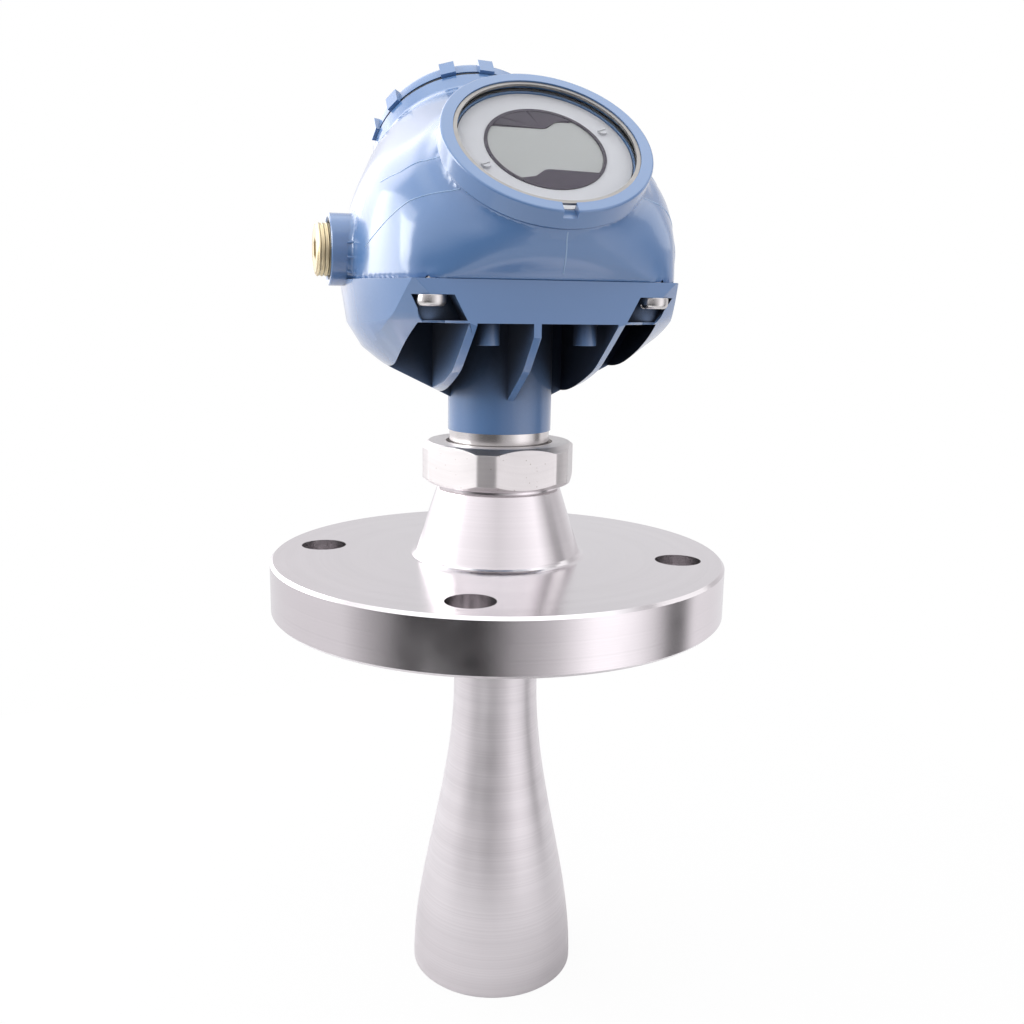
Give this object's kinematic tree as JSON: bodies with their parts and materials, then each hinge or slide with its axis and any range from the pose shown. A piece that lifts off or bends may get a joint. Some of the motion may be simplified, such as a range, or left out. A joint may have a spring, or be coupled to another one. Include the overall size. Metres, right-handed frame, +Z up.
{
  "type": "radar level transmitter",
  "caption": "Non-contact radar level transmitter: steel horn antenna under a drilled pipe flange, clamp nut, and a swivelling cast head with round display and terminal covers.",
  "frame": {"origin": "centre of the flange's raised sealing face", "axes": "+Z up the instrument's axis from the horn to the head, X along the conduit entries, -Y towards the display"},
  "size_m": [0.1905, 0.1971, 0.3943],
  "materials": {
    "turned_steel": "satin turned",
    "horn_steel": "matt turned",
    "nut_steel": "cast, machined faces",
    "neck_steel": "fine turned",
    "ptfe": "waxy white",
    "blue_paint": "semi-gloss paint",
    "seal_rubber": "matt",
    "screw_steel": "bright",
    "module_metal": "satin",
    "board": "matt",
    "black_plastic": "matt",
    "face_grey": "satin print",
    "lcd": "gloss",
    "mask_purple": "satin print",
    "yellow_zinc": "yellow passivated zinc",
    "window": "clear",
    "retainer_metal": "satin"
  },
  "bodies": {
    "process_part": {"process_flange": "turned_steel", "horn_antenna": "horn_steel", "process_seal": "ptfe", "hub_seal_ring": "seal_rubber"},
    "nut_washer": {"thrust_washer": "neck_steel"},
    "clamp_nut": {"clamp_nut": "nut_steel"},
    "head": {"neck_adapter": "neck_steel", "neck_seal_ring": "seal_rubber", "waveguide": "ptfe", "housing_base": "blue_paint", "housing_gasket": "seal_rubber", "housing_dome": "blue_paint", "housing_screws": "screw_steel", "microwave_module": "module_metal", "electronics_module": "board", "display_module": "black_plastic", "module_screws": "screw_steel", "face_plate": "face_grey", "screen": "lcd", "screen_mask": "mask_purple", "terminal_block": "black_plastic", "terminal_screws": "screw_steel", "ground_screw": "yellow_zinc"},
    "display_seal": {"display_seal_ring": "seal_rubber"},
    "display_cover": {"display_cover": "blue_paint", "glass_seal": "seal_rubber", "window_glass": "window", "glass_retainer": "retainer_metal"},
    "terminal_seal": {"terminal_seal_ring": "seal_rubber"},
    "terminal_cover": {"terminal_cover": "blue_paint"},
    "plug_seal": {"plug_seal_ring": "seal_rubber"},
    "blanking_plug": {"blanking_plug": "yellow_zinc"}
  },
  "joints": [
    {"name": "head_swivel", "type": "hinge", "parent": "process_part", "child": "head", "pos_m": [0, 0, 0.066], "axis": [0, 0, 1], "range_deg": [-180, 180]},
    {"name": "nut_lift", "type": "slide", "parent": "process_part", "child": "nut_washer", "axis": [0, 0, 1], "range_m": [0, 0.01]},
    {"name": "nut_turn", "type": "hinge", "parent": "nut_washer", "child": "clamp_nut", "pos_m": [0, 0, 0.0637], "axis": [0, 0, 1], "range_deg": [0, 1800]},
    {"name": "display_cover_lift", "type": "slide", "parent": "head", "child": "display_seal", "axis": [0, -0.6947, 0.7193], "range_m": [0, 0.011]},
    {"name": "display_cover_turn", "type": "hinge", "parent": "display_seal", "child": "display_cover", "pos_m": [0, -0.05557, 0.18195], "axis": [0, -0.6947, 0.7193], "range_deg": [0, 1980]},
    {"name": "terminal_cover_lift", "type": "slide", "parent": "head", "child": "terminal_seal", "axis": [0, 0.6947, 0.7193], "range_m": [0, 0.011]},
    {"name": "terminal_cover_turn", "type": "hinge", "parent": "terminal_seal", "child": "terminal_cover", "pos_m": [0, 0.06599, 0.19474], "axis": [0, 0.6947, 0.7193], "range_deg": [0, 1980]},
    {"name": "plug_lift", "type": "slide", "parent": "head", "child": "plug_seal", "axis": [-1, 0, 0], "range_m": [0, 0.0144]},
    {"name": "plug_turn", "type": "hinge", "parent": "plug_seal", "child": "blanking_plug", "pos_m": [-0.07, 0, 0.1479], "axis": [-1, 0, 0], "range_deg": [0, 2880]}
  ],
  "couplings": [
    {"joint": "nut_lift", "follows": "nut_turn", "m_per_rad": 0.00031831},
    {"joint": "display_cover_lift", "follows": "display_cover_turn", "m_per_rad": 0.00031831},
    {"joint": "terminal_cover_lift", "follows": "terminal_cover_turn", "m_per_rad": 0.00031831},
    {"joint": "plug_lift", "follows": "plug_turn", "m_per_rad": 0.00028648}
  ]
}
